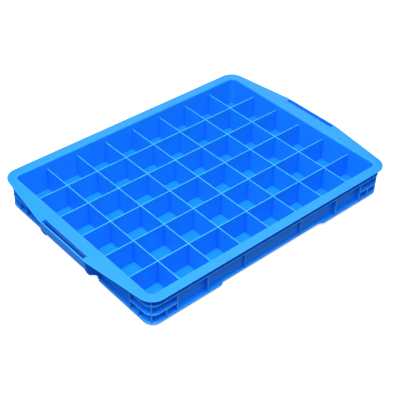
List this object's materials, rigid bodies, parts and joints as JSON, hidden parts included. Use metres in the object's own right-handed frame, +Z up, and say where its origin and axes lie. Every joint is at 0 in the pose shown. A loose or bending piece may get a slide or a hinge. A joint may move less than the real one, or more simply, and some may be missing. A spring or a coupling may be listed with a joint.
{
  "type": "compartment tray",
  "caption": "Shallow stackable plastic tray with a wide flared grip rim, ribbed walls and a lift-out lattice of interlocking divider strips that form square cells.",
  "frame": {"origin": "middle of the tray's footprint, on the surface the tray stands on", "axes": "+X along the tray's length, from one grip to the other; +Y across the tray; +Z up"},
  "size_m": [0.644, 0.456, 0.075],
  "materials": {
    "tray_plastic": "satin",
    "divider_plastic": "satin"
  },
  "bodies": {
    "tray": {"tray_shell": "tray_plastic"},
    "lattice": {"long_divider_1": "divider_plastic", "long_divider_2": "divider_plastic", "long_divider_3": "divider_plastic", "long_divider_4": "divider_plastic", "long_divider_5": "divider_plastic"},
    "cross_1": {"cross_divider_1": "divider_plastic"},
    "cross_2": {"cross_divider_2": "divider_plastic"},
    "cross_3": {"cross_divider_3": "divider_plastic"},
    "cross_4": {"cross_divider_4": "divider_plastic"},
    "cross_5": {"cross_divider_5": "divider_plastic"},
    "cross_6": {"cross_divider_6": "divider_plastic"},
    "cross_7": {"cross_divider_7": "divider_plastic"}
  },
  "joints": [
    {"name": "lattice_lift", "type": "slide", "parent": "tray", "child": "lattice", "axis": [0, 0, 1], "range_m": [0, 0.08]},
    {"name": "cross_lift_1", "type": "slide", "parent": "lattice", "child": "cross_1", "axis": [0, 0, 1], "range_m": [0, 0.075]},
    {"name": "cross_lift_2", "type": "slide", "parent": "lattice", "child": "cross_2", "axis": [0, 0, 1], "range_m": [0, 0.075]},
    {"name": "cross_lift_3", "type": "slide", "parent": "lattice", "child": "cross_3", "axis": [0, 0, 1], "range_m": [0, 0.075]},
    {"name": "cross_lift_4", "type": "slide", "parent": "lattice", "child": "cross_4", "axis": [0, 0, 1], "range_m": [0, 0.075]},
    {"name": "cross_lift_5", "type": "slide", "parent": "lattice", "child": "cross_5", "axis": [0, 0, 1], "range_m": [0, 0.075]},
    {"name": "cross_lift_6", "type": "slide", "parent": "lattice", "child": "cross_6", "axis": [0, 0, 1], "range_m": [0, 0.075]},
    {"name": "cross_lift_7", "type": "slide", "parent": "lattice", "child": "cross_7", "axis": [0, 0, 1], "range_m": [0, 0.075]}
  ]
}
